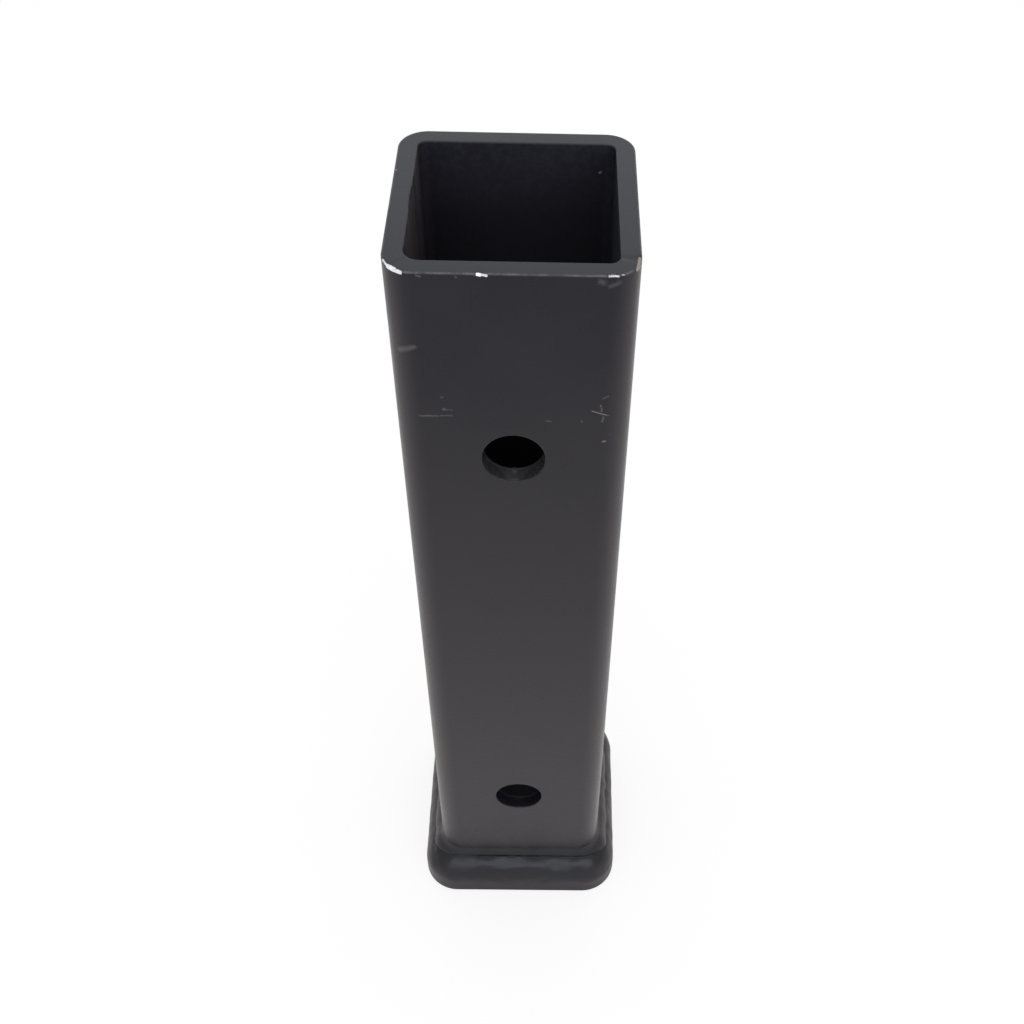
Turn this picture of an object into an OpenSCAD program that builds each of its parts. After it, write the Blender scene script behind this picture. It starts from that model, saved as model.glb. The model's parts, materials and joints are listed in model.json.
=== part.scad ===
// Receiver extender: a square steel tube with two cross pin holes, and a crowned
// collar welded round its mouth. It stands on its mouth, so the collar's foot is
// at z = 0 and the plain end is at the top. The pin holes run along Y.

/* [Tube] */
// Outside width of the square tube
tube_w = 63.5; // [56:0.5:80]
// Thickness of the tube's wall
tube_wall = 5.3; // [4:0.1:7]
// Radius of the tube's outside corners
tube_corner_r = 8; // [6:0.5:11]
// Radius of the tube's inside corners
bore_corner_r = 2.7; // [2:0.1:6]
// Length from the mouth to the plain end
tube_l = 308; // [220:1:500]
// Rounding of the outside edge at the plain end
end_edge_r = 0.4; // [0.3:0.1:1.5]
// Break of the inside edge at both ends
bore_edge = 0.4; // [0.2:0.1:1]

/* [Pin holes] */
// Diameter of both cross holes, for a 5/8 in pin
pin_hole_d = 17.3; // [13:0.1:20]
// Height of the lower hole's axis above the mouth
mouth_hole_z = 65; // [40:0.5:90]
// Distance of the upper hole's axis from the plain end
end_hole_inset = 61.5; // [30:0.5:90]

/* [Seam] */
// Width of the shallow groove left inside by the tube's own weld seam
seam_w = 12; // [6:0.5:18]
// Depth of that groove
seam_depth = 0.4; // [0.2:0.05:0.8]

/* [Collar] */
// Thickness of the collar at its foot, outwards from the tube
collar_t = 7.6; // [6:0.1:9]
// Height of the collar
collar_h = 19; // [16:0.5:28]
// Height of the straight part of its outside, below the crown
collar_straight_h = 7; // [3:0.5:8]
// Width of the flat left at the top of the crown
collar_top_w = 1.6; // [1:0.1:3]
// Radius of the collar's outside corners, seen from above
collar_corner_r = 13.4; // [11:0.2:16]
// Rounding of the collar's lower outside edge
collar_foot_r = 1.5; // [0.5:0.1:2.5]
// Gap between the tube and the collar slid over it
collar_gap = 0.1; // [0.05:0.05:0.3]

/* [Weld bead] */
// Height of the bead up the tube
bead_up = 5; // [3:0.1:7]
// Bare ledge left on the collar's top outside the bead
bead_ledge = 0.1; // [0.05:0.05:0.4]
// Angle between the bead's hollow face and the tube at its upper edge, in degrees
bead_edge_angle = 4; // [1:0.25:4.5]

/* [Hidden] */
$fn = 96;
// How far a cutting shape runs past the face that it cuts
past = 1;
tube_half = tube_w / 2;
bore_half = tube_half - tube_wall;
end_hole_z = tube_l - end_hole_inset;
collar_half = tube_half + collar_t;
// The crown is one arc, upright where it starts and ending at the flat on top
crown_in = collar_t - collar_top_w;
crown_up = collar_h - collar_straight_h;
crown_r = (crown_in * crown_in + crown_up * crown_up) / (2 * crown_in);
// The seam groove is a slice of a large circle
seam_r = (seam_w * seam_w / 4 + seam_depth * seam_depth) / (2 * seam_depth);
// The bead's face is an arc through the two ends of its legs, turning by bead_bow each way
bead_out = collar_top_w - bead_ledge;
bead_chord = sqrt(bead_out * bead_out + bead_up * bead_up);
bead_bow = atan(bead_out / bead_up) - bead_edge_angle;
bead_face_r = bead_chord / (2 * sin(bead_bow));
// Distance of that arc's centre from the middle of its chord, in chords
bead_face_k = 1 / (2 * tan(bead_bow));
// How far the arc cuts past the ends of the legs, so that it leaves no sliver there
bead_overcut = 0.001;

// Carries a section round a square outline with round corners.
// In the section, x = 0 is on the outline, x grows outwards and y is height.
// A section that reaches past the middle of the square fills it.
module round_the_square(half, corner_r) {
    straight = half - corner_r;
    for (turn = [0 : 90 : 270])
        rotate(turn) {
            translate([straight, straight, 0])
                rotate_extrude(angle = 90)
                    intersection() {
                        translate([corner_r, 0]) children();
                        translate([0, -past]) square([tube_w, tube_l + 2 * past]);
                    }
            translate([half, 0, 0])
                rotate([90, 0, 0]) linear_extrude(2 * straight, center = true) children();
        }
}

// Outline of a square with round corners
module rounded_square(half, r) {
    square([2 * half, 2 * (half - r)], center = true);
    square([2 * (half - r), 2 * half], center = true);
    for (x = [-1, 1], y = [-1, 1])
        translate([x * (half - r), y * (half - r)]) circle(r);
}

// Outer side of the tube, with its rounded edge at the plain end
module tube_side() {
    depth = tube_half + past;
    translate([-depth, 0]) square([depth, tube_l - end_edge_r]);
    translate([-depth, 0]) square([depth - end_edge_r, tube_l]);
    translate([-end_edge_r, tube_l - end_edge_r]) circle(end_edge_r);
}

// Inner side of the tube, which opens out at both ends
module bore_side() {
    depth = bore_half + past;
    flare = bore_edge + past;
    polygon([
        [-depth, -past],
        [flare, -past],
        [0, bore_edge],
        [0, tube_l - bore_edge],
        [flare, tube_l + past],
        [-depth, tube_l + past]
    ]);
}

module seam_groove() {
    translate([-bore_half - seam_depth, 0, -past])
        linear_extrude(tube_l + 2 * past)
            intersection() {
                translate([seam_r, 0]) circle(seam_r);
                translate([-past, -seam_w]) square([seam_depth + 2 * past, 2 * seam_w]);
            }
}

module pin_hole(height) {
    translate([0, 0, height]) rotate([90, 0, 0])
        cylinder(d = pin_hole_d, h = tube_w + 2 * past, center = true);
}

// Outer side of the collar: a small round at the foot, a straight part and the crown
module collar_side() {
    depth = collar_half + past;
    intersection() {
        union() {
            translate([-depth, collar_foot_r]) square([depth, collar_h - collar_foot_r]);
            translate([-depth, 0]) square([depth - collar_foot_r, collar_h]);
            translate([-collar_foot_r, collar_foot_r]) circle(collar_foot_r);
        }
        union() {
            translate([-depth, 0]) square([depth, collar_straight_h]);
            translate([-depth, 0]) square([depth - crown_in, collar_h]);
            translate([-crown_r, collar_straight_h]) circle(crown_r);
        }
    }
}

// Section of the bead in the corner between the tube and the collar's top
module bead_section() {
    difference() {
        square([bead_out, bead_up]);
        translate([bead_out / 2 + bead_face_k * bead_up, bead_up / 2 + bead_face_k * bead_out])
            circle(bead_face_r + bead_overcut);
    }
}

module tube() {
    color([0.21, 0.21, 0.22])
        difference() {
            round_the_square(tube_half, tube_corner_r) tube_side();
            round_the_square(bore_half, bore_corner_r) bore_side();
            seam_groove();
            pin_hole(mouth_hole_z);
            pin_hole(end_hole_z);
        }
}

module collar() {
    color([0.2, 0.2, 0.22])
        difference() {
            round_the_square(collar_half, collar_corner_r) collar_side();
            translate([0, 0, -past]) linear_extrude(collar_h + 2 * past)
                rounded_square(tube_half + collar_gap, tube_corner_r + collar_gap);
        }
}

module weld_bead() {
    color([0.24, 0.24, 0.25])
        round_the_square(tube_half, tube_corner_r)
            translate([0, collar_h]) bead_section();
}

tube();
collar();
weld_bead();
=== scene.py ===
"""Receiver extender: painted tube, dressed collar, weld bead and studio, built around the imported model."""

import json
import math

import bmesh
import bpy
from bpy.props import FloatProperty, FloatVectorProperty, IntProperty, PointerProperty
from mathutils import Matrix, Vector, noise


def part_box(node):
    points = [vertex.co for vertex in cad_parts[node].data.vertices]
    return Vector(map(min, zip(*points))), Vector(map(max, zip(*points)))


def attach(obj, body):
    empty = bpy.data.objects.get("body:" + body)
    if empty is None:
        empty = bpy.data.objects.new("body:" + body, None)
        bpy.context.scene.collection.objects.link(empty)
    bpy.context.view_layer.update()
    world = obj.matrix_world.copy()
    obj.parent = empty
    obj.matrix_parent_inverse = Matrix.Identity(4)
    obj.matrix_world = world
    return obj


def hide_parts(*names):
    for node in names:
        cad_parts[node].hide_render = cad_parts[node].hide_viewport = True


bl_info = {
    "name": "Receiver extender looks",
    "version": (1, 0, 0),
    "blender": (4, 5, 0),
    "location": "View3D > Sidebar > Receiver",
    "description": "Builds the painted tube, the dressed collar, its weld bead and a studio around the packed model",
    "category": "Add Mesh",
}

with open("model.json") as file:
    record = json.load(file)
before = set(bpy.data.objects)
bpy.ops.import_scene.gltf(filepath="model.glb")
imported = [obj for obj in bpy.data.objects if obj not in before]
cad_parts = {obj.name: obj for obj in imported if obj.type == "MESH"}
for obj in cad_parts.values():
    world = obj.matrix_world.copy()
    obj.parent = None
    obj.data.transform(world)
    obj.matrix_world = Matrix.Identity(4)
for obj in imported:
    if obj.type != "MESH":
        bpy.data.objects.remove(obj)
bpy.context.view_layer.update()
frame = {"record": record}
tube_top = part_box("tube")[1]
collar_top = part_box("collar")[1]
bead_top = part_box("weld_bead")[1]
mounts = {mount["name"]: mount for mount in frame["record"]["mounts"]}
mouth_hole = mounts["mouth_pin_hole"]
end_hole = mounts["end_pin_hole"]

MM = 0.001
QUARTER = math.pi / 2
HALF_TURN = math.pi
SHARP = math.radians(40)
# Points nearer than this are one point, and a point this near to a plane lies in it.
MERGE = 0.002 * MM
NEAR = 0.01 * MM
# How far the pale line beside the plain end's outside edge can reach: partly rubbing, partly painted highlight
RUBBED_AND_HIGHLIT_BAND = 0.4 * MM
# How far a loop stands aside while it is bridged
ASIDE = 1 * MM
# How far outside the inner skin a ring's point still counts as its own
CLEAR = 0.5 * MM
# How far outside the inner wall its points can lie, at the broken edges
BORE_BAND = 0.6 * MM
# Height of the coarse steps in which the walls climb between the holes
CLIMB_STEP = 12 * MM
# Depth from either end at which the inside reaches its full painted brightening, which stands in for light in the
# deep bore
PAINTED_LIGHT_FULL_DEPTH = 26 * MM
# Reach of the drilling burr along its edge, and across it
BURR_REACH = 0.7 * MM
BURR_ACROSS = 0.3 * MM
# How strongly smooth shading follows the large faces, from 1 to 100
FACE_WEIGHT = 90

# The photograph's camera: its frame and focal length in pixels, its place in metres and its turns.
FRAME = 1024
SENSOR = 36.0
FOCAL = 1252.8
VIEW_CENTRE = (568.73, 568.04)
EYE = Vector((0.00955, -0.27922, 0.48954))
YAW = math.radians(1.546)
PITCH = math.radians(49.402)
ROLL = math.radians(-1.979)
LOOK_AT = Vector((0, 0, 0.15))
FLOOR_REACH = 6.0
# Soft boxes: name, place, width, height, and the setting that holds the brightness.
SOFT_BOXES = (
    ("Front soft box", Vector((0.15, -1.2, 0.52)), 1.8, 0.58, "front_strength"),
    ("Back soft box", Vector((0, 1.2, 1.35)), 2.0, 1.3, "back_strength"),
    ("Top soft box", Vector((0, 0, 1.8)), 0.9, 0.9, "top_strength"),
)
# Where the floor's painted shades and its painted pool of light begin and end: from the middle of the part, or along
# Y.
OPENING_SHADE = (33 * MM, 39 * MM)
CONTACT_SHADE = (37 * MM, 52 * MM)
BEHIND_FADE = (-100 * MM, 120 * MM)
BESIDE_FADE = (-90 * MM, -10 * MM)
DIMMER_FADE = (80 * MM, 260 * MM)
POOL_FADE = (255 * MM, 430 * MM)
# Distances across count this much for the pool of light, so that it is wider across than along
POOL_ACROSS = 0.66


def length(name, description, default, low=0.0, high=1.0):
    """A size in metres that a user can change."""
    return FloatProperty(name=name, description=description, default=default, min=low, max=high,
                         precision=5, subtype="DISTANCE", unit="LENGTH")


def colour(name, description, default):
    """A colour, as scene-linear red, green and blue."""
    return FloatVectorProperty(name=name, description=description, default=default, size=3,
                               min=0.0, max=1.0, subtype="COLOR")


class TubeSizes(bpy.types.PropertyGroup):
    half: length("Half width", "Half of the tube's outside width", tube_top.x)
    length: length("Length", "Length from the mouth to the plain end", tube_top.z)
    wall: length("Wall", "Thickness of the wall", 5.3 * MM)
    corner: length("Outside corner", "Radius of the outside corners", 8 * MM)
    bore_corner: length("Inside corner", "Radius of the inside corners", 2.7 * MM)
    eased_corner: length("Eased corner", "Radius of the inside corner between the seam's wall and the front",
                         4.2 * MM)
    end_round: length("End rounding", "Rounding of the outside edge at the plain end", 0.4 * MM)
    bore_break: length("Bore edge", "Break of the inside edge at both ends", 0.4 * MM)
    seam_width: length("Seam width", "Width of the groove left inside by the tube's seam", 12 * MM)
    seam_depth: length("Seam depth", "Depth of that groove", 0.32 * MM)
    run_steps: IntProperty(name="Run steps", description="Faces along each flat side", default=64, min=8)
    corner_steps: IntProperty(name="Corner steps", description="Faces round each corner", default=24, min=4)


class HoleSizes(bpy.types.PropertyGroup):
    radius: length("Radius", "Radius of both pin holes", mouth_hole["dims"]["r_mm"] * MM)
    lower: length("Lower height", "Height of the lower hole's axis", mouth_hole["pos_m"][2])
    upper: length("Upper height", "Height of the upper hole's axis", end_hole["pos_m"][2])
    outer_round: length("Outside edge", "Paint rounding on the outside edge", 0.4 * MM)
    inner_round: length("Inside edge", "Rounding on the inside edge", 0.2 * MM)
    burr_height: length("Burr", "Height of the drilling burr left on the upper hole's inside edge", 0.6 * MM)
    patch_steps: IntProperty(name="Patch steps", description="Faces cut out along each side for a hole",
                             default=32)


class CollarSizes(bpy.types.PropertyGroup):
    half: length("Half width", "Half of the collar's outside width", collar_top.x)
    height: length("Height", "Height of the collar", collar_top.z)
    straight: length("Straight part", "Height of the straight part, below the crown", 7 * MM)
    flat: length("Top flat", "Width of the flat at the top", 1.6 * MM)
    corner: length("Corner", "Radius of the outside corners, seen from above", 13.4 * MM)
    foot_round: length("Foot rounding", "Rounding of the lower outside edge", 1.5 * MM)
    gap: length("Gap", "Gap between the collar and the tube", 0.1 * MM)
    dressing: length("Dressing", "Depth of the marks left by grinding the crown", 0.38 * MM)
    run_steps: IntProperty(name="Run steps", description="Faces along each flat side", default=80, min=8)
    corner_steps: IntProperty(name="Corner steps", description="Faces round each corner", default=32, min=4)


class BeadSizes(bpy.types.PropertyGroup):
    out: length("Leg on the collar", "Width of the bead on the collar's top", bead_top.x - tube_top.x)
    up: length("Leg on the tube", "Height of the bead up the tube", bead_top.z - collar_top.z)
    edge_angle: FloatProperty(name="Edge angle", default=math.radians(0.5), min=0.0, max=math.radians(10),
                              subtype="ANGLE", unit="ROTATION",
                              description="Angle between the bead's hollow face and the tube")
    spread: length("Spread", "How much further the bead's foot runs out over the crown at the sides", 3.1 * MM)
    lean: FloatProperty(name="Lean front", default=0.72, min=0.3, max=1.0,
                        description="Share of the leg that the bead keeps along the front and back")
    sunk: length("Sunk", "Depth of the bead's foot below the collar's top", 1.4 * MM)
    pitch: length("Ripple pitch", "Distance between the bead's ripples", 2.6 * MM)
    ripple: length("Ripple depth", "Depth of the ripples", 0.025 * MM)
    run_steps: IntProperty(name="Run steps", description="Faces along each flat side", default=120, min=8)
    corner_steps: IntProperty(name="Corner steps", description="Faces round each corner", default=36, min=4)


class FinishColours(bpy.types.PropertyGroup):
    paint: colour("Paint", "Satin black paint", (0.0030, 0.0030, 0.0060))
    paint_thin: colour("Thin paint", "Paint where it lies thinner or is rubbed", (0.0052, 0.0048, 0.0074))
    inside: colour("Inside", "Thin paint inside the tube", (0.0045, 0.0045, 0.0075))
    inside_dust: colour("Inside dust", "Dusty patches of that paint", (0.0110, 0.0110, 0.0165))
    # A painted brightening: a lighter colour laid on deeper inside the tube, standing in for light that reaches the
    # deep bore
    inside_deep: colour("Deep inside", "Dusty bare wall deeper inside the tube", (0.0210, 0.0200, 0.0290))
    drilled: colour("Drilled walls", "Thinly painted steel in the pin holes", (0.030, 0.029, 0.032))
    # A brown laid on the seam's side of the inner wall
    seam_stain: colour("Seam stain", "Brown of the tube's seam side inside, under thin paint", (0.052, 0.043, 0.043))
    bare: colour("Bare steel", "Steel laid bare in the chips", (0.74, 0.73, 0.74))
    scuffed: colour("Scuffed paint", "Paint scraped pale by a scratch", (0.19, 0.18, 0.18))
    soiled: colour("Soiled steel", "Dull brownish steel in the old chips", (0.26, 0.22, 0.185))


class StageSettings(bpy.types.PropertyGroup):
    floor: colour("Floor", "Colour of the floor", (0.82, 0.795, 0.785))
    # A painted shadow: the floor inside the tube is given this dark colour
    floor_inside: colour("Floor inside", "Colour of the floor inside the tube, in deep shade",
                         (0.10, 0.10, 0.105))
    walls: colour("Walls", "Colour of the light that comes from all round", (1.0, 1.0, 1.0))
    floor_white: FloatProperty(name="Floor white", default=0.8, min=0.0, max=1.0,
                               description="How far the floor is lifted to plain white, as seen and mirrored")
    # These tint the floor's glow in reflections: a painted pool of light, warm near the part and cooler further off
    bounce_near: colour("Near bounce", "Warm white of the lit floor near the part, in reflections",
                        (1.0, 0.942, 0.922))
    bounce_far: colour("Far bounce", "Cooler, darker floor further off, in reflections",
                       (0.61, 0.585, 0.645))
    bounce: FloatProperty(name="Bounce", description="Level of the floor in reflections", default=1.4, min=0.0)
    walls_strength: FloatProperty(name="Walls level", description="Level of that light", default=0.92, min=0.0)
    window: colour("Soft boxes", "Colour of the soft boxes", (0.86, 0.90, 1.0))
    front_strength: FloatProperty(name="Front lamp", description="Brightness of the front soft box", default=3.2)
    back_strength: FloatProperty(name="Back lamp", description="Brightness of the back soft box", default=0.66)
    top_strength: FloatProperty(name="Top lamp", description="Brightness of the soft box overhead", default=3.0)


def carry_round(bm, chain, half, corner, run_steps, corner_steps):
    """Carries a chain of edges along one side and one corner of a square, and repeats them all round."""
    straight = half - corner
    side = bmesh.ops.spin(bm, geom=chain, cent=(0, 0, 0), axis=(0, 0, 1), angle=0.0, steps=run_steps,
                          dvec=(0, 2 * straight / run_steps, 0), use_duplicate=False)["geom_last"]
    bmesh.ops.spin(bm, geom=side, cent=(straight, straight, 0), axis=(0, 0, 1), angle=QUARTER,
                   steps=corner_steps, dvec=(0, 0, 0), use_duplicate=False)
    bmesh.ops.spin(bm, geom=bm.verts[:] + bm.edges[:] + bm.faces[:], cent=(0, 0, 0), axis=(0, 0, 1),
                   angle=3 * QUARTER, steps=3, dvec=(0, 0, 0), use_duplicate=True)
    bmesh.ops.remove_doubles(bm, verts=bm.verts, dist=MERGE)


class Section:
    """Draws a chain of edges upright at the start of a square's +X side, by straight lines and arcs."""

    def __init__(self, bm, half, corner, out, height):
        self.bm = bm
        self.last = [bm.verts.new((half + out, corner - half, height))]

    def line(self, out, up, steps=1):
        """Goes on by a straight line, out from the square and up."""
        step = Vector((out / steps, 0, up / steps))
        self.last = bmesh.ops.spin(self.bm, geom=self.last, cent=(0, 0, 0), axis=(0, 1, 0), dvec=step,
                                   angle=0.0, steps=steps, use_duplicate=False)["geom_last"]

    def arc(self, out, up, angle, steps):
        """Goes on by an arc about a point that lies out and up from the last one."""
        end = next(item for item in self.last if isinstance(item, bmesh.types.BMVert)).co
        centre = end + Vector((out, 0, up))
        self.last = bmesh.ops.spin(self.bm, geom=self.last, cent=centre, axis=(0, -1, 0), dvec=(0, 0, 0),
                                   angle=angle, steps=steps, use_duplicate=False)["geom_last"]


def skin(bm, half, corner, run_steps, corner_steps, out, height, strokes):
    """Adds a skin of faces round a square: strokes draw its section, from a first point out and up."""
    sheet = bmesh.new()
    section = Section(sheet, half, corner, out, height)
    for kind, *sizes in strokes:
        getattr(section, kind)(*sizes)
    carry_round(sheet, sheet.verts[:] + sheet.edges[:], half, corner, run_steps, corner_steps)
    drawn = bpy.data.meshes.new("skin")
    sheet.to_mesh(drawn)
    sheet.free()
    bm.from_mesh(drawn)
    bpy.data.meshes.remove(drawn)


def loop_at(bm, test):
    """The open edges whose two ends pass a test."""
    return [edge for edge in bm.edges if edge.is_boundary and all(test(vert.co) for vert in edge.verts)]


def bridge_apart(bm, edges, moved, way):
    """Bridges two loops about one centre: one stands aside meanwhile, or they could be joined twisted."""
    bmesh.ops.translate(bm, verts=moved, vec=way)
    bmesh.ops.bridge_loops(bm, edges=edges)
    bmesh.ops.translate(bm, verts=moved, vec=-way)


def close_ring(bm, height, inner_half, way):
    """Joins the outer and the inner skin by one ring of faces at a height."""
    edges = loop_at(bm, lambda point: abs(point.z - height) < NEAR)
    inner = {vert for edge in edges for vert in edge.verts if max(abs(vert.co.x), abs(vert.co.y)) < inner_half}
    bridge_apart(bm, edges, list(inner), Vector((0, 0, way)))


def finish_mesh(bm, name, material, node):
    """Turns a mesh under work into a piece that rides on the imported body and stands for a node."""
    bmesh.ops.remove_doubles(bm, verts=bm.verts, dist=MERGE)
    bmesh.ops.recalc_face_normals(bm, faces=bm.faces)
    for face in bm.faces:
        face.smooth = True
    for edge in bm.edges:
        edge.smooth = len(edge.link_faces) == 2 and edge.calc_face_angle() < SHARP
    mesh = bpy.data.meshes.new(name)
    bm.to_mesh(mesh)
    bm.free()
    piece = bpy.data.objects.new(name, mesh)
    bpy.context.scene.collection.objects.link(piece)
    mesh.materials.append(material)
    weighting = piece.modifiers.new("Flat faces stay flat", "WEIGHTED_NORMAL")
    weighting.keep_sharp = True
    weighting.weight = FACE_WEIGHT
    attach(piece, "root")
    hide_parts(node)
    return piece


def open_wall(bm, centre, reach, radius, segments):
    """Cuts a square patch out of a flat grid at centre, facing Y, and leads it to a round opening."""
    patch = [face for face in bm.faces if abs((middle := face.calc_center_median()).x - centre.x) < reach
             and abs(middle.z - centre.z) < reach and abs(middle.y - centre.y) < NEAR]
    around = {edge for face in patch for edge in face.edges}
    bmesh.ops.delete(bm, geom=patch, context="FACES")
    rim = [edge for edge in around if edge.is_valid and edge.is_boundary]
    upright = Matrix.Translation(centre) @ Matrix.Rotation(QUARTER, 4, "X")
    ring = bmesh.ops.create_circle(bm, cap_ends=False, radius=radius, segments=segments,
                                   matrix=upright)["verts"]
    circle = list({edge for vert in ring for edge in vert.link_edges})
    bridge_apart(bm, rim + circle, ring, Vector((0, -math.copysign(ASIDE, centre.y), 0)))
    return circle


def pin_hole(bm, tube, holes, side, height, bore_half):
    """Drills one wall of the tube, and gives the hole's outside and inside edges."""
    segments = 4 * holes.patch_steps
    rings = []
    for half, corner in ((tube.half, tube.corner), (bore_half, tube.bore_corner)):
        reach = (half - corner) * holes.patch_steps / tube.run_steps
        rings.append(open_wall(bm, Vector((0, side * half, height)), reach, holes.radius, segments))
    wall = bmesh.ops.bridge_loops(bm, edges=rings[0] + rings[1])["faces"]
    across = {edge for face in wall for edge in face.edges}.difference(rings[0], rings[1])
    bmesh.ops.subdivide_edges(bm, edges=list(across), cuts=3, use_grid_fill=True)
    return rings


def round_edges(bm, edges, rounding):
    """Rounds sharp edges."""
    bmesh.ops.bevel(bm, geom=edges, offset=rounding, offset_type="OFFSET", affect="EDGES", segments=4,
                    profile=0.5, material=-1, clamp_overlap=True)


def heights(start, tube_length, patches, near, far):
    """Strokes that climb from a height to the end, in fine steps beside a hole and coarse ones between."""
    strokes = []
    level = start
    for centre, reach, steps in patches:
        below = centre - reach - level
        strokes.append(("line", 0, below, max(1, round(below / far))))
        strokes.append(("line", 0, 2 * reach, steps))
        level = centre + reach
    rest = tube_length - near - level
    strokes.append(("line", 0, rest, max(1, round(rest / far))))
    return strokes


def groove(bm, bore_half, width, depth):
    """Sinks the shallow groove of the tube's seam into the inner wall on the -X side."""
    for vert in bm.verts:
        share = 1 - (2 * vert.co.y / width) ** 2
        if share > 0 and -bore_half - BORE_BAND < vert.co.x < -bore_half + 0.1 * MM:
            vert.co.x -= depth * share


def ease_corner(bm, bore_half, corner, eased):
    """Rounds the inside corner between the seam's wall and the front wall more than the other three."""
    centre = Vector((eased - bore_half, eased - bore_half))
    for vert in bm.verts:
        depth = outwards(vert.co, bore_half, corner)[0]
        away = vert.co.xy - centre
        if -NEAR < depth < BORE_BAND and away.x < 0 and away.y < 0:
            vert.co.xy = centre + away.normalized() * (eased + depth)


def chip(verts, start, end, radius, depth, facing):
    """Shaves a chip off an edge: what stands above a plane is laid on it, along start to end."""
    run = end - start
    for vert in verts:
        along = max(0.0, min(1.0, (vert.co - start).dot(run) / run.length_squared))
        nearest = start + run * along
        away = (vert.co - nearest).length
        if away < radius:
            rough = 0.35 * depth * noise.noise(vert.co / (0.9 * MM))
            above = (vert.co - nearest).dot(facing) + depth + rough
            if above > 0:
                vert.co -= facing * above * min(1.0, 2 * (1 - away / radius))


def share_attribute(bm, name, amount):
    """Stores a share from 0 to 1 at each vertex, for a material to read."""
    layer = bm.verts.layers.float.new(name)
    for vert in bm.verts:
        vert[layer] = amount(vert.co)


class Nodes:
    """A node tree, with short ways to add nodes to it."""

    def __init__(self, tree):
        self.tree = tree

    def add(self, kind, inputs=None, **settings):
        """Adds a node, sets it up and feeds its inputs with numbers or with other nodes' sockets."""
        made = self.tree.nodes.new(kind)
        for key, value in settings.items():
            setattr(made, key, value)
        for key, value in (inputs or {}).items():
            if isinstance(value, bpy.types.NodeSocket):
                self.tree.links.new(value, made.inputs[key])
            else:
                made.inputs[key].default_value = value
        return made

    def sum(self, kind, first, second, clamp=False):
        """One step of arithmetic on two numbers."""
        return self.add("ShaderNodeMath", {0: first, 1: second}, operation=kind, use_clamp=clamp).outputs[0]

    def vector(self, kind, first, second=(0, 0, 0)):
        """One step of arithmetic on two vectors."""
        return self.add("ShaderNodeVectorMath", {0: first, 1: second}, operation=kind)

    def ramp(self, value, low, high, start=0.0, stop=1.0):
        """Maps a number from low..high to start..stop, smoothly and without going past them."""
        inputs = {"Value": value, "From Min": low, "From Max": high, "To Min": start, "To Max": stop}
        return self.add("ShaderNodeMapRange", inputs, interpolation_type="SMOOTHSTEP").outputs["Result"]

    def clouds(self, place, scale, detail=2.0, roughness=0.5):
        """Soft noise, with scale in features a metre."""
        inputs = {"Vector": place, "Scale": scale, "Detail": detail, "Roughness": roughness}
        return self.add("ShaderNodeTexNoise", inputs).outputs["Fac"]

    def mix(self, share, first, second):
        """Blends two colours."""
        made = self.add("ShaderNodeMix", {"Factor": share}, data_type="RGBA")
        sides = {socket.name: socket for socket in made.inputs if socket.type == "RGBA"}
        for socket, value in ((sides["A"], first), (sides["B"], second)):
            if isinstance(value, bpy.types.NodeSocket):
                self.tree.links.new(value, socket)
            else:
                socket.default_value = (*value, 1.0)
        return next(socket for socket in made.outputs if socket.type == "RGBA")


def mark_group():
    """A node group that marks what lies within a ragged radius of the line between two points."""
    group = bpy.data.node_groups.new("Wear mark", "ShaderNodeTree")
    sockets = group.interface
    for kind, names in (("NodeSocketVector", ("Place", "Start", "End")),
                        ("NodeSocketFloat", ("Radius", "Ragged", "Noise", "Core"))):
        for name in names:
            sockets.new_socket(name, in_out="INPUT", socket_type=kind)
    sockets.new_socket("Mask", in_out="OUTPUT", socket_type="NodeSocketFloat")
    nodes = Nodes(group)
    given = nodes.add("NodeGroupInput").outputs
    run = nodes.vector("SUBTRACT", given["End"], given["Start"]).outputs[0]
    reach = nodes.vector("SUBTRACT", given["Place"], given["Start"]).outputs[0]
    ahead = nodes.vector("DOT_PRODUCT", reach, run).outputs["Value"]
    whole = nodes.vector("DOT_PRODUCT", run, run).outputs["Value"]
    share = nodes.sum("DIVIDE", ahead, whole, clamp=True)
    nearest = nodes.add("ShaderNodeVectorMath", {0: run, "Scale": share}, operation="SCALE").outputs[0]
    away = nodes.vector("DISTANCE", reach, nearest).outputs["Value"]
    spread = nodes.sum("MULTIPLY", nodes.sum("SUBTRACT", given["Noise"], 0.5), given["Ragged"])
    edge = nodes.sum("MULTIPLY", given["Radius"], nodes.sum("ADD", spread, 1.0))
    mask = nodes.ramp(away, nodes.sum("MULTIPLY", edge, given["Core"]), edge, 1.0, 0.0)
    nodes.add("NodeGroupOutput", {"Mask": mask})
    return group


def marks_mask(nodes, place, ragged_noise, marks, core):
    """The strongest of several wear marks at each place: core is the share of their radius with no fade."""
    group = bpy.data.node_groups.get("Wear mark") or mark_group()
    total = 0.0
    for start, end, radius, ragged, strength in marks:
        inputs = {"Place": place, "Start": start, "End": end, "Radius": radius, "Ragged": ragged,
                  "Noise": ragged_noise, "Core": core}
        mark = nodes.add("ShaderNodeGroup", inputs, node_tree=group).outputs["Mask"]
        one = nodes.sum("MULTIPLY", mark, strength)
        total = one if total == 0.0 else nodes.sum("MAXIMUM", total, one)
    return total


def at(x, y, z):
    """A place on the part, from millimetres."""
    return Vector((x, y, z)) * MM


# In millimetres: the front face, the height of the plain end's rim, and its front edge.
FRONT = -31.75
RIM = 307.62
EDGE = -31.5

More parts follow.
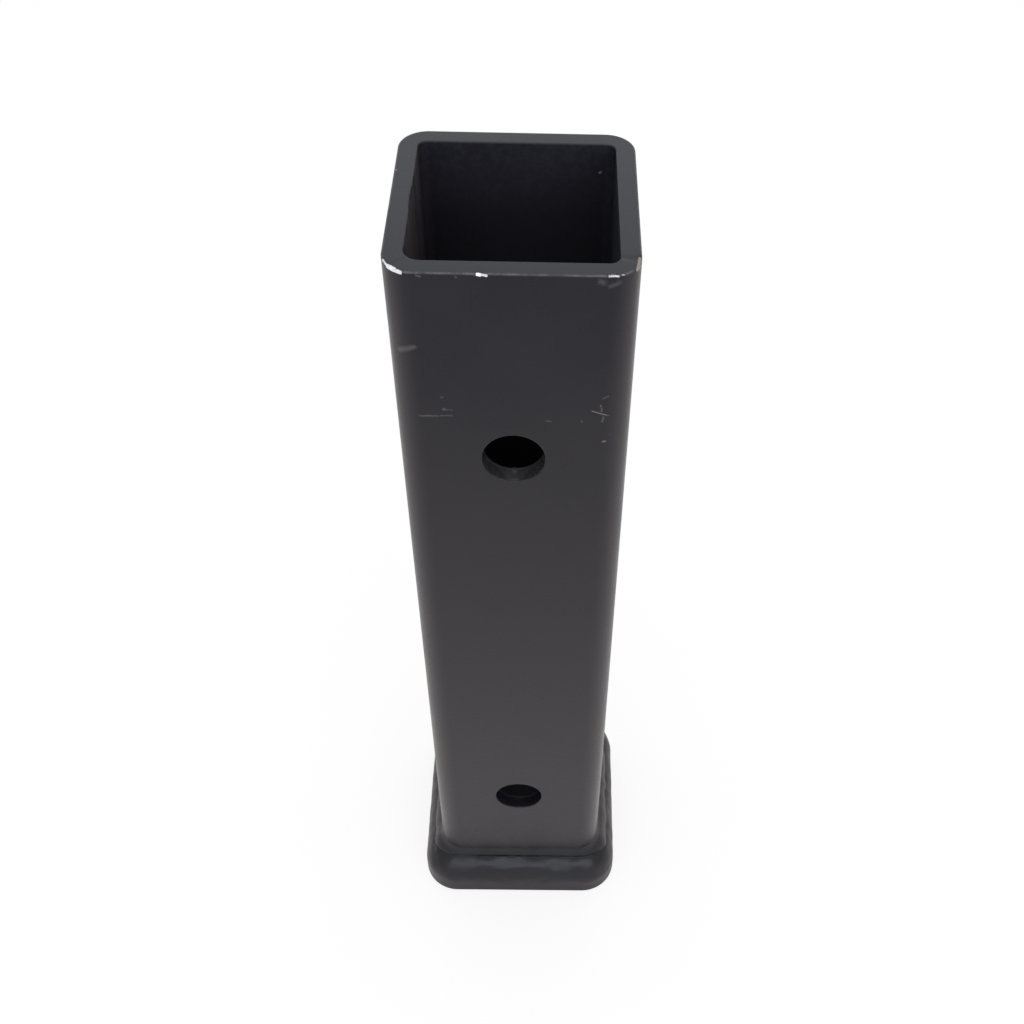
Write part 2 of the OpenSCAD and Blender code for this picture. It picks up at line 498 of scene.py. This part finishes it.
# Each mark runs from a place to a place, with its radius in metres, how ragged it is and how strong.
BARE_CHIPS = (
    (at(-31.0, -26.4, RIM), at(-29.8, -28.6, RIM), 0.36 * MM, 0.6, 0.85),
    (at(-29.7, -28.8, RIM), at(-27.9, -30.3, RIM), 0.68 * MM, 0.6, 1.0),
    (at(-27.9, -30.3, RIM), at(-26.5, -31.15, 307.5), 0.6 * MM, 0.7, 0.95),
    (at(-8.0, EDGE, RIM), at(-7.3, EDGE, 307.5), 0.5 * MM, 0.9, 1.0),
    (at(-7.0, EDGE, 307.5), at(-5.9, -31.6, 307.4), 0.4 * MM, 0.9, 0.8),
    (at(23.6, EDGE, 307.8), at(25.8, -31.3, 307.7), 0.27 * MM, 2.2, 0.72),
    (at(20.9, EDGE, 307.8), at(28.0, -30.8, 307.8), 0.15 * MM, 1.2, 0.55),
)
OLD_CHIPS = (
    (at(31.3, -24.2, 307.6), at(30.6, -28.2, 307.4), 0.75 * MM, 0.9, 0.85),
    (at(-31.2, 12.1, 307.7), at(-31.2, 12.3, 307.7), 0.5 * MM, 0.8, 0.55),
)
SCUFFS = (
    (at(-28.8, -30.1, 283.1), at(-24.8, -31.75, 285.3), 1.25 * MM, 0.8, 0.2),
    (at(-24.8, FRONT, 262.0), at(-20.0, FRONT, 262.15), 0.42 * MM, 1.9, 0.2),
    (at(-19.4, FRONT, 262.2), at(-16.2, FRONT, 262.3), 0.36 * MM, 1.9, 0.18),
    (at(-23.4, FRONT, 262.1), at(-21.6, FRONT, 262.1), 0.4 * MM, 1.2, 0.26),
    (at(-18.3, FRONT, 264.5), at(-18.1, FRONT, 264.5), 0.7 * MM, 0.8, 0.26),
    (at(-18.3, FRONT, 264.4), at(-15.9, FRONT, 264.3), 0.3 * MM, 1.6, 0.18),
    (at(-18.7, FRONT, 268.7), at(-18.5, FRONT, 268.7), 0.55 * MM, 0.8, 0.16),
    (at(21.0, FRONT, 264.7), at(25.4, FRONT, 263.1), 0.32 * MM, 1.0, 0.5),
    (at(23.2, FRONT, 266.7), at(23.3, FRONT, 266.4), 0.42 * MM, 0.9, 0.34),
    (at(23.5, FRONT, 265.7), at(23.5, FRONT, 264.7), 0.38 * MM, 1.1, 0.28),
    (at(24.1, FRONT, 262.6), at(23.8, FRONT, 260.9), 0.45 * MM, 1.2, 0.2),
    (at(23.6, FRONT, 269.1), at(25.1, FRONT, 269.9), 0.42 * MM, 1.2, 0.15),
    (at(24.4, FRONT, 253.7), at(24.9, FRONT, 253.7), 0.55 * MM, 0.7, 0.5),
    (at(26.2, -31.6, 256.1), at(26.3, -31.6, 256.1), 0.45 * MM, 0.6, 0.2),
    (at(18.3, FRONT, 260.9), at(18.4, FRONT, 260.9), 0.5 * MM, 0.9, 0.18),
    (at(8.9, FRONT, 260.9), at(10.0, FRONT, 260.8), 0.45 * MM, 1.2, 0.16),
    (at(-22.6, FRONT, 307.2), at(-21.7, FRONT, 306.9), 0.42 * MM, 1.6, 0.26),
    (at(-13.3, FRONT, 307.0), at(-13.1, FRONT, 306.8), 0.42 * MM, 1.2, 0.24),
    (at(21.6, FRONT, 306.3), at(22.1, FRONT, 306.1), 1.4 * MM, 1.5, 0.16),
    (at(24.0, FRONT, 305.0), at(26.2, -31.6, 305.9), 1.1 * MM, 1.8, 0.14),
    (at(22.5, 26.45, 299.4), at(22.9, 26.45, 299.7), 0.42 * MM, 1.1, 0.9),
)
# Knocks and lumps in the crown: where, how wide and how high, with a minus for a hollow.
CROWN_KNOCKS = (
    (at(-34.4, -28.2, 15.5), 2.6 * MM, -0.6 * MM),
    (at(-35.9, -24.6, 15.0), 2.6 * MM, 0.25 * MM),
    (at(-31.0, -34.8, 14.0), 4.0 * MM, 0.3 * MM),
    (at(-14.5, -34.4, 16.3), 4.5 * MM, 0.42 * MM),
    (at(-5.5, -34.8, 16.0), 3.5 * MM, -0.25 * MM),
    (at(6.0, -34.4, 16.3), 4.5 * MM, 0.36 * MM),
    (at(15.0, -34.8, 16.0), 3.5 * MM, -0.2 * MM),
    (at(23.5, -34.6, 16.0), 4.5 * MM, 0.34 * MM),
)
# A chip's depth at full strength, and how far it reaches past its mark
CHIP_DEPTH = 0.22 * MM
CHIP_SPREAD = 1.25


def satin_paint(name, colours, wear=None, orange_peel=1.0, roughness=0.25):
    """Satin black paint: soft clouds, fine orange peel and, where given, wear marks, a pale line along the outside
    edge that is partly rubbing and partly painted highlight, and a painted brightening deep inside the tube.
    """
    material = bpy.data.materials.new(name)
    material.use_nodes = True
    nodes = Nodes(material.node_tree)
    surface = material.node_tree.nodes["Principled BSDF"]
    place = nodes.add("ShaderNodeTexCoord").outputs["Object"]
    broad = nodes.clouds(place, 45.0, 3.0)
    fine = nodes.clouds(place, 900.0, 2.0)
    grain = nodes.clouds(place, 2600.0, 1.0)
    patchy = nodes.ramp(broad, 0.3, 0.72)
    speckle = nodes.ramp(grain, 0.35, 0.7)
    thinness = nodes.sum("ADD", nodes.sum("MULTIPLY", patchy, 0.55), nodes.sum("MULTIPLY", speckle, 0.35),
                         clamp=True)
    shade = nodes.mix(thinness, tuple(colours.paint), tuple(colours.paint_thin))
    gloss = nodes.ramp(nodes.sum("ADD", nodes.sum("MULTIPLY", broad, 0.6), nodes.sum("MULTIPLY", fine, 0.4)),
                       0.3, 0.7, roughness, roughness + 0.08)
    metal = 0.0
    if wear:
        inside = nodes.add("ShaderNodeAttribute", attribute_name="inside").outputs["Fac"]
        streaks = nodes.vector("MULTIPLY", place, (1.0, 1.0, 0.06)).outputs[0]
        dust = nodes.ramp(nodes.clouds(place, 620.0, 4.0, 0.7), 0.38, 0.66)
        # Deeper inside, the dust-mottled inside colour is drawn towards a lighter one: painted light in the deep
        # bore
        deep = nodes.add("ShaderNodeAttribute", attribute_name="deep").outputs["Fac"]
        dust_and_painted_light = nodes.mix(dust, tuple(colours.inside), tuple(colours.inside_dust))
        dust_and_painted_light = nodes.mix(nodes.sum("MULTIPLY", deep, 0.85), dust_and_painted_light, tuple(colours.inside_deep))
        shade = nodes.mix(inside, shade, dust_and_painted_light)
        drilled = nodes.add("ShaderNodeAttribute", attribute_name="drilled").outputs["Fac"]
        shade = nodes.mix(nodes.sum("MULTIPLY", drilled, nodes.ramp(dust, 0.0, 1.0, 0.6, 1.0)), shade,
                          tuple(colours.drilled))
        # The seam's side of the inner wall is given a brown, streaked along the tube and fading towards its corners
        seam = nodes.add("ShaderNodeAttribute", attribute_name="seam").outputs["Fac"]
        streaked = nodes.ramp(nodes.clouds(streaks, 260.0, 4.0), 0.35, 0.65, 0.35, 1.0)
        browned_seam_side = nodes.sum("MULTIPLY", seam, streaked)
        shade = nodes.mix(browned_seam_side, shade, tuple(colours.seam_stain))
        ragged = nodes.clouds(place, 1500.0, 3.0, 0.65)
        # A pale line along the plain end's outside edge, in the scuffed colour: partly rubbed paint, partly a
        # painted highlight of the edge catching the light
        edge = nodes.add("ShaderNodeAttribute", attribute_name="edge").outputs["Fac"]
        rubbed = nodes.ramp(nodes.clouds(place, 260.0, 4.0, 0.7), 0.35, 0.66, 0.3, 1.0)
        edge_rub_and_highlight = nodes.sum("MULTIPLY", nodes.sum("MULTIPLY", edge, rubbed), 0.45)
        scuffs = nodes.sum("MAXIMUM", marks_mask(nodes, place, ragged, wear["scuffs"], 0.0), edge_rub_and_highlight)
        old = marks_mask(nodes, place, ragged, wear["old"], 0.5)
        bare = marks_mask(nodes, place, ragged, wear["bare"], 0.62)
        dirt = nodes.ramp(nodes.clouds(place, 900.0, 2.0), 0.4, 0.65)
        steel = nodes.mix(nodes.sum("MULTIPLY", dirt, 0.35), tuple(colours.bare), tuple(colours.scuffed))
        shade = nodes.mix(scuffs, shade, tuple(colours.scuffed))
        shade = nodes.mix(old, shade, tuple(colours.soiled))
        shade = nodes.mix(bare, shade, steel)
        metal = nodes.sum("MULTIPLY", bare, 0.35)
        worn = nodes.sum("MAXIMUM", nodes.sum("MAXIMUM", scuffs, old), bare)
        gloss = nodes.sum("ADD", gloss, nodes.sum("MULTIPLY", worn, 0.12))
        gloss = nodes.sum("ADD", gloss, nodes.sum("MULTIPLY", inside, 0.25))
    waves = nodes.add("ShaderNodeBump", {"Height": broad, "Strength": 0.25, "Distance": 0.12 * MM}).outputs[0]
    peel = nodes.add("ShaderNodeBump", {"Height": fine, "Strength": 0.4 * orange_peel,
                                        "Distance": 0.035 * MM, "Normal": waves}).outputs[0]
    relief = nodes.add("ShaderNodeBump", {"Height": grain, "Strength": 0.15 * orange_peel,
                                          "Distance": 0.012 * MM, "Normal": peel}).outputs[0]
    feeds = {"Base Color": shade, "Roughness": gloss, "Metallic": metal, "Normal": relief}
    for key, value in feeds.items():
        if isinstance(value, bpy.types.NodeSocket):
            material.node_tree.links.new(value, surface.inputs[key])
    surface.inputs["IOR"].default_value = 1.35
    return material


def outwards(point, half, corner):
    """How far a point lies outside a square with round corners, and the way outwards."""
    straight = half - corner
    nearest = Vector((max(-straight, min(straight, point.x)),
                      max(-straight, min(straight, point.y)), 0))
    way = Vector((point.x, point.y, 0)) - nearest
    if abs(point.x) < straight and abs(point.y) < straight:
        return -corner, Vector((0, 0, 0))
    return way.length - corner, way.normalized()


def crown_arc(collar, tube):
    """How far in and how far up the crown goes, and its radius."""
    crown_in = collar.half - tube.half - collar.flat
    crown_up = collar.height - collar.straight
    return crown_in, crown_up, (crown_in ** 2 + crown_up ** 2) / (2 * crown_in)


def crown_drop(collar, tube, beyond):
    """How far the crown lies below the collar's top, beyond the top's flat."""
    crown_in, crown_up, radius = crown_arc(collar, tube)
    start = radius - crown_in
    return crown_up - math.sqrt(max(0.0, radius ** 2 - (start + beyond) ** 2))


class RECEIVER_OT_tube(bpy.types.Operator):
    """Builds the painted tube with its pin holes, seam and chipped plain end"""
    bl_idname = "receiver.tube"
    bl_label = "Painted tube"

    def execute(self, context):
        tube = context.scene.receiver_tube
        holes = context.scene.receiver_holes
        bore_half = tube.half - tube.wall
        patches = {}
        for half, corner in ((tube.half, tube.corner), (bore_half, tube.bore_corner)):
            reach = (half - corner) * holes.patch_steps / tube.run_steps
            patches[half] = [(z, reach, holes.patch_steps) for z in (holes.lower, holes.upper)]
        bm = bmesh.new()
        climb = heights(0, tube.length, patches[tube.half], tube.end_round + RUBBED_AND_HIGHLIT_BAND, CLIMB_STEP)
        skin(bm, tube.half, tube.corner, tube.run_steps, tube.corner_steps, 0, 0,
             [*climb, ("line", 0, RUBBED_AND_HIGHLIT_BAND, 2), ("arc", -tube.end_round, 0, QUARTER, 6),
              ("line", -RUBBED_AND_HIGHLIT_BAND, 0, 2)])
        climb = heights(tube.bore_break, tube.length, patches[bore_half], tube.bore_break, CLIMB_STEP)
        skin(bm, bore_half, tube.bore_corner, tube.run_steps, tube.corner_steps, tube.bore_break, 0,
             [("arc", 0, tube.bore_break, -QUARTER, 3), *climb, ("arc", tube.bore_break, 0, -QUARTER, 3)])
        for height, way in ((0, ASIDE), (tube.length, -ASIDE)):
            close_ring(bm, height, bore_half + 2 * tube.bore_break, way)
        rings = [pin_hole(bm, tube, holes, side, height, bore_half)
                 for side in (-1, 1) for height in (holes.lower, holes.upper)]
        bmesh.ops.recalc_face_normals(bm, faces=bm.faces)
        for outer, inner in rings:
            round_edges(bm, outer, holes.outer_round)
            round_edges(bm, inner, holes.inner_round)
        ease_corner(bm, bore_half, tube.bore_corner, tube.eased_corner)
        groove(bm, bore_half, tube.seam_width, tube.seam_depth)
        self.burr(bm, holes, bore_half)
        rim = [vert for vert in bm.verts if vert.co.z > tube.length - 2 * tube.end_round]
        for start, end, radius, _, strength in BARE_CHIPS + OLD_CHIPS:
            if start.y < 0:
                facing = self.chip_facing(start, end, tube)
                chip(rim, start, end, CHIP_SPREAD * radius, CHIP_DEPTH * strength, facing)
        edge_line = tube.half - 0.3 * tube.end_round
        # The pale line along the outside edge is partly rubbing and partly painted highlight
        share_attribute(bm, "edge", lambda p: self.edge_share(p, tube, edge_line))
        flat_end = tube.length - 0.5 * tube.bore_break
        share_attribute(bm, "inside", lambda p: float(max(abs(p.x), abs(p.y)) < bore_half + tube.bore_break
                                                     and p.z < flat_end))
        # How far a point lies within the painted brightening of the deep bore, from 0 at the ends to 1 deep inside
        share_attribute(bm, "deep", lambda p: min(1.0, min(p.z, tube.length - p.z) / PAINTED_LIGHT_FULL_DEPTH))
        share_attribute(bm, "drilled", lambda p: self.drilled_share(p, tube, holes, bore_half))
        seam_edge = bore_half - 0.5 * tube.bore_corner
        share_attribute(bm, "seam", lambda p: float(p.x < -seam_edge and p.z < flat_end and abs(p.y) < bore_half
                                                   and p.x > -bore_half - tube.bore_break)
                       * max(0.0, 1 - (p.y / bore_half) ** 6))
        material = satin_paint("Tube paint", context.scene.receiver_colours,
                               {"bare": BARE_CHIPS, "old": OLD_CHIPS, "scuffs": SCUFFS})
        finish_mesh(bm, "painted_tube", material, "tube")
        return {"FINISHED"}

    @staticmethod
    def chip_facing(start, end, tube):
        """The way that a chip in the plain end's edge faces: up, and out by the front or by a corner."""
        straight = tube.half - tube.corner
        if abs(start.x) <= straight or start.y >= -straight:
            return Vector((0, -1, 1)).normalized()
        out = (start + end) / 2 - Vector((straight * math.copysign(1, start.x), -straight, 0))
        out.z = 0
        return (out.normalized() + Vector((0, 0, 1))).normalized()

    @staticmethod
    def edge_share(point, tube, edge_line):
        """How near a point lies to the outside edge of the plain end, from 0 to 1."""
        straight = tube.half - tube.corner
        beyond = Vector((max(0, abs(point.x) - straight), max(0, abs(point.y) - straight)))
        out = beyond.length + straight - edge_line
        up = point.z - (tube.length - 0.3 * tube.end_round)
        return max(0.0, 1 - math.hypot(out, up) / (1.1 * tube.end_round))

    @staticmethod
    def drilled_share(point, tube, holes, bore_half):
        """How much of the drilled wall's thin paint a point has: most in the upper hole."""
        if not bore_half - NEAR < abs(point.y) < tube.half - 0.7 * holes.outer_round:
            return 0.0
        shares = {holes.upper: 1.0, holes.lower: 0.25}
        return max(share * (math.hypot(point.x, point.z - height) < holes.radius + holes.inner_round)
                   for height, share in shares.items())

    @staticmethod
    def burr(bm, holes, bore_half):
        """Raises the drilling burr on the upper front hole's inside edge."""
        foot = Vector((0, -bore_half, holes.upper - holes.radius))
        for vert in bm.verts:
            away = vert.co - foot
            if abs(away.x) < BURR_REACH and abs(away.z) < BURR_ACROSS and abs(away.y) < BURR_ACROSS:
                share = (1 - abs(away.x) / BURR_REACH) ** 2
                vert.co.z += holes.burr_height * share


class RECEIVER_OT_collar(bpy.types.Operator):
    """Builds the collar with its crown dressed by hand"""
    bl_idname = "receiver.collar"
    bl_label = "Dressed collar"

    def execute(self, context):
        tube = context.scene.receiver_tube
        collar = context.scene.receiver_collar
        _, crown_up, crown_radius = crown_arc(collar, tube)
        crown_turn = math.asin(crown_up / crown_radius)
        bm = bmesh.new()
        skin(bm, collar.half, collar.corner, collar.run_steps, collar.corner_steps, -collar.foot_round, 0,
             [("arc", 0, collar.foot_round, QUARTER, 6),
              ("line", 0, collar.straight - collar.foot_round, 6),
              ("arc", -crown_radius, 0, crown_turn, 20)])
        inner_half = tube.half + collar.gap
        inner_corner = tube.corner + collar.gap
        skin(bm, inner_half, inner_corner, collar.run_steps, collar.corner_steps, 0, 0,
             [("line", 0, collar.height, 2)])
        for height, way in ((0, ASIDE), (collar.height, -ASIDE)):
            close_ring(bm, height, inner_half + CLEAR, way)
        bmesh.ops.recalc_face_normals(bm, faces=bm.faces)
        bm.normal_update()
        self.dress(bm, collar)
        material = satin_paint("Collar paint", context.scene.receiver_colours, orange_peel=1.4, roughness=0.31)
        finish_mesh(bm, "dressed_collar", material, "collar")
        return {"FINISHED"}

    @staticmethod
    def dress(bm, collar):
        """Leaves the crown slightly lumpy, as hand grinding and thick paint do, with a few knocks."""
        lowest = collar.straight - 1 * MM
        highest = collar.straight + 2.5 * MM
        crown = [vert for vert in bm.verts if vert.co.z > lowest and vert.normal.z > 0.01]
        for vert in crown:
            share = min(1.0, (vert.co.z - lowest) / (highest - lowest))
            broad = noise.noise(vert.co / (11 * MM))
            small = noise.noise(vert.co / (4.5 * MM) + Vector((7, 3, 1)))
            lift = collar.dressing * share * (0.6 * broad + 0.6 * small)
            for centre, radius, height in CROWN_KNOCKS:
                near = max(0.0, 1 - ((vert.co - centre).length / radius) ** 2)
                lift += height * near ** 2
            vert.co += vert.normal * lift
            vert.co.x = max(-collar.half, min(collar.half, vert.co.x))
            vert.co.y = max(-collar.half, min(collar.half, vert.co.y))


class RECEIVER_OT_weld_bead(bpy.types.Operator):
    """Builds the rippled weld bead between the collar and the tube"""
    bl_idname = "receiver.weld_bead"
    bl_label = "Weld bead"

    def execute(self, context):
        tube = context.scene.receiver_tube
        collar = context.scene.receiver_collar
        bead = context.scene.receiver_bead
        bow = math.atan(bead.out / bead.up) - bead.edge_angle
        reach = 0.5 / math.tan(bow)
        centre = Vector((bead.out / 2 + reach * bead.up, bead.up / 2 + reach * bead.out))
        bm = bmesh.new()
        skin(bm, tube.half, tube.corner, bead.run_steps, bead.corner_steps, bead.out, collar.height - bead.sunk,
             [("line", 0, bead.sunk, 2),
              ("arc", centre.x - bead.out, centre.y, -2 * bow, 14),
              ("line", 0, -(bead.up + bead.sunk), 2),
              ("line", bead.out, 0, 2)])
        self.shape(bm, tube, collar, bead)
        material = satin_paint("Bead paint", context.scene.receiver_colours, orange_peel=1.2, roughness=0.27)
        finish_mesh(bm, "weld_bead_rippled", material, "weld_bead")
        return {"FINISHED"}

    @staticmethod
    def shape(bm, tube, collar, bead):
        """Draws the bead's foot in at the front and back, spreads it over the crown at the sides, and
        ripples its face."""
        for vert in bm.verts:
            out, way = outwards(vert.co, tube.half, tube.corner)
            up = vert.co.z - collar.height
            if out < MERGE / 2 or up > bead.up - MERGE / 2:
                continue
            share = max(0.0, 1 - up / bead.up)
            place = Vector((vert.co.x, vert.co.y, 0))
            swell = 0.5 + 0.6 * noise.noise(place / (14 * MM)) + 0.3 * noise.noise(place / (5 * MM))
            sideways = abs(way.x)
            low = min(1.0, share)
            narrow = bead.lean * out * low ** 0.3
            wide = (bead.out + bead.spread * (0.7 + 0.5 * swell)) * (0.62 * low + 0.38 * low ** 3)
            face = narrow + (wide - narrow) * sideways ** 2
            run = place.y if sideways > 0.5 else place.x
            ripple = bead.ripple * math.sin(2 * HALF_TURN * (run + 0.8 * up) / bead.pitch)
            moved = face - out + 6.75 * ripple * share ** 2 * (1 - share)
            vert.co += way * moved
            beyond = max(0.0, out + moved - collar.flat)
            vert.co.z -= crown_drop(collar, tube, beyond) * share ** 3


class RECEIVER_OT_stage(bpy.types.Operator):
    """Builds the pale floor, the soft light and the camera of the photograph's view"""
    bl_idname = "receiver.stage"
    bl_label = "Floor, light and camera"

    def execute(self, context):
        stage = context.scene.receiver_stage
        self.floor(stage)
        self.sky(context.scene, stage)
        for name, place, width, height, level in SOFT_BOXES:
            self.soft_box(name, place, width, height, getattr(stage, level), stage.window)
        self.camera(context.scene)
        context.scene.view_settings.view_transform = "Standard"
        return {"FINISHED"}

    @staticmethod
    def square_distance(nodes, across, along):
        """The distance from the middle to a square with round corners through a place."""
        powers = [nodes.sum("POWER", part, 4.0) for part in (across, along)]
        return nodes.sum("POWER", nodes.sum("ADD", *powers), 0.25)

    def floor(self, stage):
        """A large floor under the foot: lifted to plain white where seen, with a painted shadow inside the tube, and
        glowing in reflections with a painted pool of light and a painted contact shadow.
        """
        bm = bmesh.new()
        bmesh.ops.create_grid(bm, x_segments=1, y_segments=1, size=FLOOR_REACH)
        mesh = bpy.data.meshes.new("floor")
        bm.to_mesh(mesh)
        bm.free()
        floor = bpy.data.objects.new("floor", mesh)
        bpy.context.scene.collection.objects.link(floor)
        material = bpy.data.materials.new("Pale floor")
        material.use_nodes = True
        nodes = Nodes(material.node_tree)
        surface = material.node_tree.nodes["Principled BSDF"]
        surface.inputs["Roughness"].default_value = 0.9
        surface.inputs["Specular IOR Level"].default_value = 0.1
        path = nodes.add("ShaderNodeLightPath").outputs
        mirrored = nodes.sum("MAXIMUM", path["Is Glossy Ray"], path["Is Transmission Ray"])
        seen = nodes.sum("MAXIMUM", path["Is Camera Ray"], mirrored)
        place = nodes.add("ShaderNodeSeparateXYZ", {0: nodes.add("ShaderNodeTexCoord").outputs["Object"]}).outputs
        across, along = (nodes.sum("ABSOLUTE", place[key], 0.0) for key in "XY")
        away = self.square_distance(nodes, across, along)
        pool_away = self.square_distance(nodes, nodes.sum("MULTIPLY", across, POOL_ACROSS), along)
        outside = nodes.ramp(away, *OPENING_SHADE)
        lift = nodes.sum("MULTIPLY", nodes.sum("MULTIPLY", seen, stage.floor_white), outside)
        # Inside the tube's footprint the floor gets a dark colour as a painted shadow, and is not lifted to white
        shade = nodes.mix(outside, tuple(stage.floor_inside), tuple(stage.floor))
        material.node_tree.links.new(shade, surface.inputs["Base Color"])
        # As mirrored, the floor glows: a painted pool of light round the part, a painted contact shadow at the foot,
        # and painted dimming behind and beside
        painted_contact_shadow = nodes.ramp(away, *CONTACT_SHADE, 0.52, 0.95)
        behind = nodes.ramp(place["Y"], *BEHIND_FADE, stage.bounce, 0.75 * stage.bounce)
        beside = nodes.ramp(place["Y"], *BESIDE_FADE)
        dimmer = nodes.sum("MULTIPLY", beside, nodes.ramp(away, *DIMMER_FADE, 0.13, 0.0))
        level = nodes.sum("MULTIPLY", nodes.sum("MULTIPLY", painted_contact_shadow, behind), mirrored)
        level = nodes.sum("MULTIPLY", level, nodes.sum("SUBTRACT", 1.0, dimmer))
        strength = nodes.sum("ADD", level, path["Is Camera Ray"])
        pool = nodes.mix(nodes.ramp(pool_away, *POOL_FADE), tuple(stage.bounce_near),
                         tuple(stage.bounce_far))
        tint = nodes.mix(path["Is Camera Ray"], pool, (1.0, 1.0, 1.0))
        white = nodes.add("ShaderNodeEmission", {"Color": tint, "Strength": strength}).outputs[0]
        mixed = nodes.add("ShaderNodeMixShader", {0: lift, 1: surface.outputs[0], 2: white}).outputs[0]
        material.node_tree.links.new(mixed, material.node_tree.nodes["Material Output"].inputs["Surface"])
        mesh.materials.append(material)

    @staticmethod
    def sky(scene, stage):
        """Light from all round."""
        world = bpy.data.worlds.new("Studio")
        world.use_nodes = True
        scene.world = world
        light = world.node_tree.nodes["Background"]
        light.inputs["Color"].default_value = (*stage.walls, 1.0)
        light.inputs["Strength"].default_value = stage.walls_strength

    @staticmethod
    def soft_box(name, place, width, height, radiance, tint):
        """A soft box that faces the part, with its brightness as seen from the part."""
        lamp = bpy.data.lights.new(name, "AREA")
        lamp.shape = "RECTANGLE"
        lamp.size = width
        lamp.size_y = height
        lamp.energy = radiance * width * height * HALF_TURN
        lamp.color = tint
        box = bpy.data.objects.new(name, lamp)
        box.location = place
        box.rotation_euler = (LOOK_AT - place).to_track_quat("-Z", "Y").to_euler()
        bpy.context.scene.collection.objects.link(box)

    @staticmethod
    def camera(scene):
        """The camera at the photograph's angle, with its sideways and upward shift."""
        lens = bpy.data.cameras.new("Camera")
        lens.sensor_width = SENSOR
        lens.lens = FOCAL / FRAME * SENSOR
        lens.shift_x = (FRAME / 2 - VIEW_CENTRE[0]) / FRAME
        lens.shift_y = (VIEW_CENTRE[1] - FRAME / 2) / FRAME
        lens.clip_start = 0.01
        eye = bpy.data.objects.new("Camera", lens)
        ahead = Vector((math.sin(YAW) * math.cos(PITCH), math.cos(YAW) * math.cos(PITCH), -math.sin(PITCH)))
        right = Vector((math.cos(YAW), -math.sin(YAW), 0))
        down = ahead.cross(right)
        right_rolled = math.cos(ROLL) * right + math.sin(ROLL) * down
        down_rolled = math.cos(ROLL) * down - math.sin(ROLL) * right
        turn = Matrix((right_rolled, -down_rolled, -ahead)).transposed()
        eye.matrix_world = Matrix.Translation(EYE) @ turn.to_4x4()
        scene.collection.objects.link(eye)
        scene.camera = eye


class RECEIVER_PT_parts(bpy.types.Panel):
    """The part's pieces and its studio, in the 3D view's sidebar"""
    bl_idname = "RECEIVER_PT_parts"
    bl_label = "Receiver extender"
    bl_space_type = "VIEW_3D"
    bl_region_type = "UI"
    bl_category = "Receiver"

    def draw(self, context):
        for operator in OPERATORS:
            self.layout.operator(operator.bl_idname)
        for name, _ in SETTINGS:
            group = getattr(context.scene, name)
            box = self.layout.box()
            for key in group.__annotations__:
                box.prop(group, key)


OPERATORS = (RECEIVER_OT_tube, RECEIVER_OT_collar, RECEIVER_OT_weld_bead, RECEIVER_OT_stage)
SETTINGS = (
    ("receiver_tube", TubeSizes),
    ("receiver_holes", HoleSizes),
    ("receiver_collar", CollarSizes),
    ("receiver_bead", BeadSizes),
    ("receiver_colours", FinishColours),
    ("receiver_stage", StageSettings),
)


def register():
    """Registers the settings, the operators and the panel."""
    for name, group in SETTINGS:
        bpy.utils.register_class(group)
        setattr(bpy.types.Scene, name, PointerProperty(type=group))
    for operator in OPERATORS:
        bpy.utils.register_class(operator)
    bpy.utils.register_class(RECEIVER_PT_parts)


def unregister():
    """Takes them all away again."""
    bpy.utils.unregister_class(RECEIVER_PT_parts)
    for operator in reversed(OPERATORS):
        bpy.utils.unregister_class(operator)
    for name, group in reversed(SETTINGS):
        delattr(bpy.types.Scene, name)
        bpy.utils.unregister_class(group)


def main():
    """Builds every piece and the studio."""
    register()
    bpy.ops.receiver.tube()
    bpy.ops.receiver.collar()
    bpy.ops.receiver.weld_bead()
    bpy.ops.receiver.stage()


if __name__ == "__main__":
    main()
